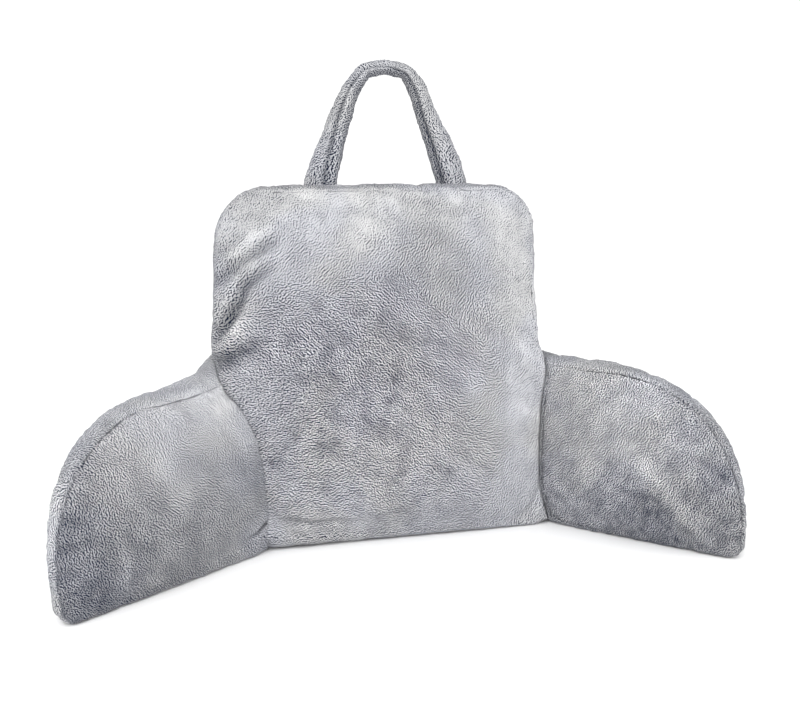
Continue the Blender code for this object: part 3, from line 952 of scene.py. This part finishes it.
def lay_pattern(piece, finer=1.0, mirror=False):
    """The cushion's flat pattern as a UV map, which runs on over the front seams onto the gussets.

    A side gusset adds its run to the width of the pattern, and the top and base add theirs to its height.
    """
    x, z, _ = flat_places(piece)
    corner, face = corners(piece)
    side, strip = read(piece, "side", "value")[face], strip_run(piece)[corner]
    u = x[corner] + strip * (side == 1) - strip * (side == 0)
    v = z[corner] + strip * (side == 3) - strip * (side == 2)
    lay_cloth(piece, -u if mirror else u, v, finer)


run = strip_run(backrest)[on_seam(backrest)]
print("the backrest's gusset takes up to", run.max().round(), "mm of cloth")

# %% [markdown]
# ## Dress the three cushions
# Where an arm is sewn to the backrest there is one more stitched line, which lies on both. It is taken
# from the arms before anything is carved. The strokes on the arms are drawn a little finer, as their
# pile is pressed shorter where elbows rest.

# %% Put the marks on the cushions
ARM_FINER = 1.25
EDGE_TONE = {"left": 0.55, "right": 0.10, "back": 0.15}     # how pale the gusset and the rear are
root_seams = {}
for label, arm in arms.items():
    across, up = read(arm, "where")[:, :2].T
    root_seams[label] = read(arm)[np.isclose(across, 0) & np.isclose(up, 1)]
dress(arms["left"], LEFT_FOLDS, LEFT_BRUSH_AND_SHADE, LEFT_SEAMS, EDGE_TONE["left"], root_seams["left"], mirror=True)
dress(arms["right"], RIGHT_FOLDS, RIGHT_BRUSH_AND_SHADE, RIGHT_SEAMS, EDGE_TONE["right"], root_seams["right"])
both_roots = np.concatenate([*root_seams.values()])
dress(backrest, FRONT_FOLDS, FRONT_BRUSH_AND_SHADE, FRONT_SEAMS, EDGE_TONE["back"], both_roots)
lay_pattern(arms["left"], ARM_FINER, mirror=True)
lay_pattern(arms["right"], ARM_FINER)
lay_pattern(backrest)

# %% [markdown]
# ## The loop is turned and twisted
# The loop is sewn as a long tube and turned right side out, so its stuffing bunches up into a ridge with
# a crease beside it. The crease starts near the outside of one leg and ends near the inside of the
# other. The ridge gets painted light, and the crease and the inside of the arch get painted shade, where
# the pile also parts.

# %% Put the marks on the loop
CREASE_COLUMNS = ("along", "angle", "deep")
CREASE_ROWS = (
    (0.0, 288.0, 3.5), (0.12, 272.0, 4.5), (0.25, 254.0, 5.0), (0.37, 245.0, 5.0), (0.47, 258.0, 3.0),
    (0.58, 296.0, 3.5), (0.72, 308.0, 4.5), (0.88, 312.0, 4.5), (1.0, 312.0, 3.5),
)
LOOP_AROUND, LOOP_RUN = 86.0, 430.0     # the cloth's length round the tube and along it, in mm
CREASE_WIDE, RIDGE_AWAY, RIDGE_WIDE, RIDGE_HIGH = 2.6, 9.0, 6.0, 1.4
FOOT_DEEP, FOOT_WIDE = 1.5, 12.0        # the stitches draw the feet in
LUMPS = ((0.45, 22, 51), (0.45, 5.5, 52))
LOOP_TONE, LOOP_PARTING, LOOP_TURN = (0.12, 20, 53), (0.08, 15, 54), (0.6, 40, 55)


def half_turns(angle):
    """The same angle, from -pi to pi."""
    return (angle + np.pi) % (2 * np.pi) - np.pi


def dress_loop():
    """Carves the loop's crease and lumps, writes its pile and wraps the cloth around it.

    Crease, ridge and feet are bells exp(-(away/wide)^2), and the ridge changes sides halfway along.
    """
    along, cosine, sine = read(loop, "where").T.astype(float)
    angle = np.arctan2(sine, cosine)
    points = read(loop).astype(float)
    size_mm = points / MM
    crease = smooth_table(CREASE_ROWS, CREASE_COLUMNS, along)
    away = half_turns(angle - np.radians(crease["angle"])) * LOOP_AROUND / (2 * np.pi)
    valley = np.exp(-(away / CREASE_WIDE) ** 2)
    ridge = np.exp(-((away - RIDGE_AWAY * np.cos(np.pi * along)) / RIDGE_WIDE) ** 2)
    foot = np.exp(-(np.minimum(along, 1 - along) * LOOP_RUN / FOOT_WIDE) ** 2)
    move = -crease["deep"] * valley + RIDGE_HIGH * ridge - FOOT_DEEP * foot + fields(size_mm, *LUMPS)
    write_points(loop, points + normals(loop) * (move * MM)[:, None])
    # Painted light on the ridge, painted shade in the crease and inside the arch, where the pile also parts.
    inside = smoothstep(-0.2, 0.9, cosine)
    tone = 0.30 + 0.45 * ridge - 0.85 * valley - 0.80 * inside + fields(size_mm, LOOP_TONE)
    parted = 0.20 + 0.42 * inside - 0.08 * ridge + fields(size_mm, LOOP_PARTING)
    turn = 0.9 + fields(size_mm, LOOP_TURN)
    keep_pile(loop, tone, parted, turn, np.full(len(points), 10.0), np.zeros(len(points)))
    corner, face = corners(loop)
    face_angle = np.arctan2(np.bincount(face, sine[corner]), np.bincount(face, cosine[corner]))[face]
    turned = face_angle + half_turns(angle[corner] - face_angle)
    lay_cloth(loop, turned * LOOP_AROUND / (2 * np.pi), along[corner] * LOOP_RUN)
    print(f"the loop is carved by {-move.min():.1f} mm at most and stands out by {move.max():.1f} mm")


dress_loop()

# %% [markdown]
# ## Camera
# A pillow like this is best shown from a little above and off to one side, so that both arms show their
# inside. The camera is given as a place and three turns, which are easier to correct one at a time than
# a matrix.

# %% Set up the camera
CAMERA = (-0.2412, -1.0865, 0.4441)
YAW, PITCH, ROLL = 13.428, 10.895, -0.70
FOCAL_PIXELS, FRAME_PIXELS, SENSOR = 849.67, 800, 36.0
SHIFT_PIXELS = (-6.57, -0.19)


def make_camera():
    """A camera from its place and its turns: yaw from +Y towards +X, then down by pitch, then roll."""
    yaw, pitch, roll = (math.radians(a) for a in (YAW, PITCH, ROLL))
    ahead = Vector((math.sin(yaw) * math.cos(pitch), math.cos(yaw) * math.cos(pitch), -math.sin(pitch)))
    right = Vector((math.cos(yaw), -math.sin(yaw), 0))
    up = right.cross(ahead)
    right, up = right * math.cos(roll) + up * math.sin(roll), up * math.cos(roll) - right * math.sin(roll)
    data = bpy.data.cameras.new("studio camera")
    data.sensor_width = SENSOR
    data.lens = SENSOR * FOCAL_PIXELS / FRAME_PIXELS
    data.shift_x, data.shift_y = (pixels / FRAME_PIXELS for pixels in SHIFT_PIXELS)
    camera = bpy.data.objects.new("studio camera", data)
    turn = Matrix((right, up, -ahead)).transposed()
    camera.matrix_world = Matrix.Translation(CAMERA) @ turn.to_4x4()
    bpy.context.scene.collection.objects.link(camera)
    bpy.context.scene.camera = camera
    print("the camera has a lens of", round(data.lens, 1), "mm")


make_camera()

# %% [markdown]
# ## Light and floor
# White surroundings light the pillow from everywhere, as a cloth tent does. One large soft lamp at the
# upper left gives it a lit and a shaded side, and a weaker one at the right opens the shade. Colours are
# written as sRGB hex and turned linear, which is what a shader reckons in.

# %% Light and floor
WHITE, FLOOR_WHITE = "#FFFFFF", "#FAFAFA"
SURROUND_STRENGTH = 1.1
AIM = (0, 0, 0.25)
# Each lamp: where it stands, how wide it is in metres, and its watts.
LAMPS = {"key": ((-0.9, -1.6, 2.0), 1.4, 28), "fill": ((1.8, -1.2, 1.4), 1.6, 10)}
FLOOR_REACH = 9.0


def linear(text):
    """sRGB hex to linear: x/12.92 below 0.04045, ((x + 0.055)/1.055)^2.4 above."""
    values = [int(text[i:i + 2], 16) / 255 for i in (1, 3, 5)]
    return tuple(x / 12.92 if x <= 0.04045 else ((x + 0.055) / 1.055) ** 2.4 for x in values)


def paint(text):
    """A colour socket's value from sRGB hex."""
    return (*linear(text), 1)


def add(tree, kind, settings=None, **inputs):
    """A node of that kind with its settings, each input set to a value or linked.

    An input is named, or numbered as in _0. It is linked where its value is a socket, or a node, whose
    first output in use is taken.
    """
    node = tree.nodes.new(kind)
    for name, value in (settings or {}).items():
        setattr(node, name, value)
    for name, value in inputs.items():
        socket = node.inputs[int(name[1:])] if name[0] == "_" else node.inputs[name.replace("_", " ")]
        if isinstance(value, bpy.types.Node):
            value = next(output for output in value.outputs if output.enabled)
        if isinstance(value, bpy.types.NodeSocket):
            tree.links.new(value, socket)
        else:
            socket.default_value = value
    return node


def soft_light(name, source, size, power):
    """A square area light at its source, turned towards the pillow."""
    data = bpy.data.lights.new(name, "AREA")
    data.shape, data.size, data.energy = "SQUARE", size, power
    lamp = bpy.data.objects.new(name, data)
    lamp.location = source
    lamp.rotation_euler = (Vector(AIM) - Vector(source)).to_track_quat("-Z", "Y").to_euler()
    bpy.context.scene.collection.objects.link(lamp)


scene = bpy.context.scene
scene.view_settings.view_transform = "Standard"
world = bpy.data.worlds.new("studio")
scene.world = world
world.use_nodes = True
surround = world.node_tree.nodes["Background"].inputs
surround["Color"].default_value = paint(WHITE)
surround["Strength"].default_value = SURROUND_STRENGTH
for name, (source, size, power) in LAMPS.items():
    soft_light(name, source, size, power)

outline = [(x * FLOOR_REACH, y * FLOOR_REACH, 0) for x, y in ((-1, -1), (1, -1), (1, 1), (-1, 1))]
mesh = bpy.data.meshes.new("floor")
mesh.from_pydata(outline, [], [(0, 1, 2, 3)])
floor = bpy.data.objects.new("floor", mesh)
scene.collection.objects.link(floor)
# Matt white paper: it gives the eye only the soft shadow under the pillow.
floor_paint = bpy.data.materials.new("matt_white_paper")
floor_paint.use_nodes = True
paper = floor_paint.node_tree.nodes["Principled BSDF"].inputs
paper["Base Color"].default_value = paint(FLOOR_WHITE)
paper["Roughness"].default_value = 0.9
floor.data.materials.append(floor_paint)
print(len(LAMPS), "lamps, and a floor", 2 * FLOOR_REACH, "m wide")

# %% [markdown]
# ## Short-pile plush
# The cover is polyester plush: a knitted ground with loops that are sheared to an upright pile of 2 or
# 3 mm. Its many thin fibres scatter light in all directions, so it has no clear highlight. Where the
# pile lies flat the eye sees the pale sides of the fibres, and where it parts it looks into the dark
# between the tufts. Single fibres are far too fine to show at this distance, so the strokes are drawn at
# the size of tufts, about 2 mm. Real fur strands could be grown instead, but they would hide the folds.
# So the dark strokes are painted shade in the colour of a knitted ground, with painted light and shade
# on the sides of each tuft and a small bump, at a fraction of the work.

# %% Short-pile plush
STROKE_LONG, STROKE_WIDE = 2.2, 1.75        # a tuft, in mm
# SEAM_SHADE is the colour of the painted shade in the seams' grooves.
DARK_PILE, PALE_PILE, SEAM_SHADE = "#56585F", "#C9C9CB", "#34353B"
WARM_CLOUD, COOL_CLOUD = "#FEFEFC", "#FBFCFF"
TUFT_SHARE, STROKE_GAIN, STROKE_PALE = 0.2, 34.0, 0.27
PALE_LIMIT, DARK_LIMIT = 0.50, -0.19        # a tuft is no paler and no darker than that
CLOUDS_PER_METRE, GAPS_PER_METRE = 11.0, 70.0
BUMP_DEEP = 1.0                             # in mm
SHEET_STEP = (0.037, 0.021)                 # each sheet starts elsewhere, so that no two agree
SURFACE = {"Roughness": 0.95, "Specular IOR Level": 0.1, "Sheen Weight": 0.04, "Sheen Roughness": 0.5}
for name, text in {"dark": DARK_PILE, "pale": PALE_PILE}.items():
    print(name, "pile reflects", round(linear(text)[1], 2), "of the light")

# %% [markdown]
# ## Sheets of strokes
# A stroke is a noise that is longer one way than the other. Brushed pile turns from place to place, and a
# noise whose coordinates turned with it would smear. So four sheets with fixed directions are laid over
# the pattern, and every place takes its share of each.

# %% Sheets of strokes
MATH, VECTOR, NOISE, MIX, RANGE = (
    "ShaderNode" + kind for kind in ("Math", "VectorMath", "TexNoise", "Mix", "MapRange"))
SMOOTH, FLAT, COLOUR = {"interpolation_type": "SMOOTHSTEP"}, {"noise_dimensions": "2D"}, {"data_type": "RGBA"}
LESS, TIMES, PLUS, TIMES_PLUS, LOWER, HIGHER = (
    {"operation": word} for word in ("SUBTRACT", "MULTIPLY", "ADD", "MULTIPLY_ADD", "MINIMUM", "MAXIMUM"))


def stroke_sheets(tree, pattern, strokes, shift):
    """All four sheets, moved across their strokes by the shift in mm: the sum of (noise - 0.5) share."""
    sheets = []
    for k in range(4):
        turn = math.radians(45 * k)
        moved = (SHEET_STEP[0] * k - shift * math.sin(turn) * MM,
                 SHEET_STEP[1] * k + shift * math.cos(turn) * MM, 0)
        turned = add(tree, "ShaderNodeMapping", {"vector_type": "TEXTURE"}, Vector=pattern, Location=moved,
                     Rotation=(0, 0, turn), Scale=(STROKE_LONG * MM, STROKE_WIDE * MM, 1))
        sheets.append(add(tree, NOISE, FLAT, Vector=turned, Scale=1.0, Detail=0.1, Distortion=0.3))
    three = add(tree, "ShaderNodeCombineXYZ", _0=sheets[0], _1=sheets[1], _2=sheets[2])
    level = add(tree, VECTOR, LESS, _0=three, _1=(0.5, 0.5, 0.5))
    mixed = add(tree, VECTOR, {"operation": "DOT_PRODUCT"}, _0=level, _1=strokes.outputs["Vector"])
    fourth = add(tree, MATH, LESS, _0=sheets[3], _1=0.5)
    return add(tree, MATH, TIMES_PLUS, _0=fourth, _1=strokes.outputs["Alpha"], _2=mixed)


print("a stroke is", STROKE_LONG, "by", STROKE_WIDE, "mm, in four directions")

# %% [markdown]
# ## Tone, clouds and seams
# The colour is put on in three coats. The strokes come first: pale tufts on the tone of the brushed
# cloth, and painted shade between them where it parts. Then a breath of warm and cool, as dyed fibre is
# never quite even. Last a line of painted shade along the stitches, which the pile covers here and there.


# %% Tone, clouds and seams
def stroked(tree, tuft, relief_light_and_shade, tone, parted):
    """Between dark and pale pile by tone + min(gain marks + 0.27 parted, 0.5 parted), never below -0.19."""
    # The marks are painted shade between the tufts and painted light and shade on their sides.
    both = add(tree, MATH, TIMES_PLUS, _0=tuft, _1=TUFT_SHARE, _2=relief_light_and_shade)
    marks = add(tree, MATH, TIMES, _0=both, _1=parted)
    ground = add(tree, MATH, TIMES, _0=parted, _1=STROKE_PALE)
    strong = add(tree, MATH, TIMES_PLUS, _0=marks, _1=STROKE_GAIN, _2=ground)
    gentle = add(tree, MATH, TIMES, _0=parted, _1=PALE_LIMIT)
    capped = add(tree, MATH, LOWER, _0=strong, _1=gentle)
    shade = add(tree, MATH, PLUS, _0=capped, _1=tone)
    held = add(tree, MATH, HIGHER, _0=shade, _1=DARK_LIMIT)
    unclamped = {**COLOUR, "clamp_factor": False}
    return add(tree, MIX, unclamped, _0=held, _6=paint(DARK_PILE), _7=paint(PALE_PILE))


def clouded(tree, colour):
    """The colour, tinted by clouds about 90 mm wide."""
    position = add(tree, "ShaderNodeTexCoord").outputs["Object"]
    clouds = add(tree, NOISE, Vector=position, Scale=CLOUDS_PER_METRE, Detail=1.0)
    cloud = add(tree, RANGE, SMOOTH, Value=clouds, _1=0.38, _2=0.62)
    tint = add(tree, MIX, COLOUR, _0=cloud, _6=paint(WARM_CLOUD), _7=paint(COOL_CLOUD))
    return add(tree, MIX, {**COLOUR, "blend_type": "MULTIPLY"}, _0=1.0, _6=colour, _7=tint)


def stitched(tree, colour, pattern, seam, shows):
    """The colour, darkened by painted shade from 2.4 down to 0.2 mm beside the stitches, as far as the seam
    shows there.
    """
    near = add(tree, RANGE, SMOOTH, Value=seam, _1=0.02, _2=0.24, _3=1.0, _4=0.0)
    gaps = add(tree, NOISE, FLAT, Vector=pattern, Scale=GAPS_PER_METRE, Detail=0.0)
    broken = add(tree, RANGE, SMOOTH, Value=gaps, _1=0.35, _2=0.60, _3=0.25, _4=1.0)
    # The seam line is painted shade, broken where the pile lies over it.
    stitches = add(tree, MATH, TIMES, _0=near, _1=broken)
    line = add(tree, MATH, TIMES, _0=stitches, _1=shows)
    return add(tree, MIX, COLOUR, _0=line, _6=colour, _7=paint(SEAM_SHADE))


print("a seam's shade reflects", round(linear(SEAM_SHADE)[1], 3), "of the light")

# %% [markdown]
# ## Put the plush together
# The sheets are laid twice, the second time moved by half a stroke's width. The difference of the two is
# painted light and shade: pale on one side of a tuft and dark on the other, as if lit from one side. The
# tufts also raise the surface where the pile parts. The fibres leave a roughness near one and the
# faintest sheen.


# %% Make the plush
def make_plush():
    """Short grey plush, steered by the attributes "pile" and "strokes" and laid out by the UV map."""
    made = bpy.data.materials.new("grey_plush")
    made.use_nodes = True
    tree = made.node_tree
    pattern = add(tree, "ShaderNodeUVMap", {"uv_map": "cloth"})
    pile = add(tree, "ShaderNodeAttribute", {"attribute_name": "pile"})
    strokes = add(tree, "ShaderNodeAttribute", {"attribute_name": "strokes"})
    tone, parted, seam = add(tree, "ShaderNodeSeparateXYZ", _0=pile.outputs["Vector"]).outputs
    tuft = stroke_sheets(tree, pattern, strokes, 0.0)
    # The difference of the two laid sheets is painted light and shade on the sides of the tufts.
    relief_light_and_shade = add(tree, MATH, LESS, _0=tuft, _1=stroke_sheets(tree, pattern, strokes, 0.5 * STROKE_WIDE))
    colour = clouded(tree, stroked(tree, tuft, relief_light_and_shade, tone, parted))
    colour = stitched(tree, colour, pattern, seam, pile.outputs["Alpha"])
    raised = add(tree, MATH, TIMES, _0=tuft, _1=parted)
    bump = add(tree, "ShaderNodeBump", Strength=1.0, Distance=BUMP_DEEP * MM, Height=raised)
    surface = tree.nodes["Principled BSDF"]
    tree.links.new(colour.outputs[2], surface.inputs["Base Color"])
    tree.links.new(bump.outputs[0], surface.inputs["Normal"])
    for name, value in SURFACE.items():
        surface.inputs[name].default_value = value
    return made


plush = make_plush()
for piece in cushions + [loop]:
    piece.data.materials.clear()
    piece.data.materials.append(plush)
print("the plush is made of", len(plush.node_tree.nodes), "nodes and covers", len(cushions) + 1, "pieces")

# %% [markdown]
# ## Ride, replace and finish
# Each sewn piece takes the place of one solid of the CAD part, and rides on the body that the solid
# belongs to. The pillow is one body, so all four ride on its root.

# %% Ride, replace and finish
STANDS_FOR = {backrest: "backrest", arms["left"]: "arm_left", arms["right"]: "arm_right", loop: "handle"}
for piece, node in STANDS_FOR.items():
    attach(piece, "root")
    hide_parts(node)
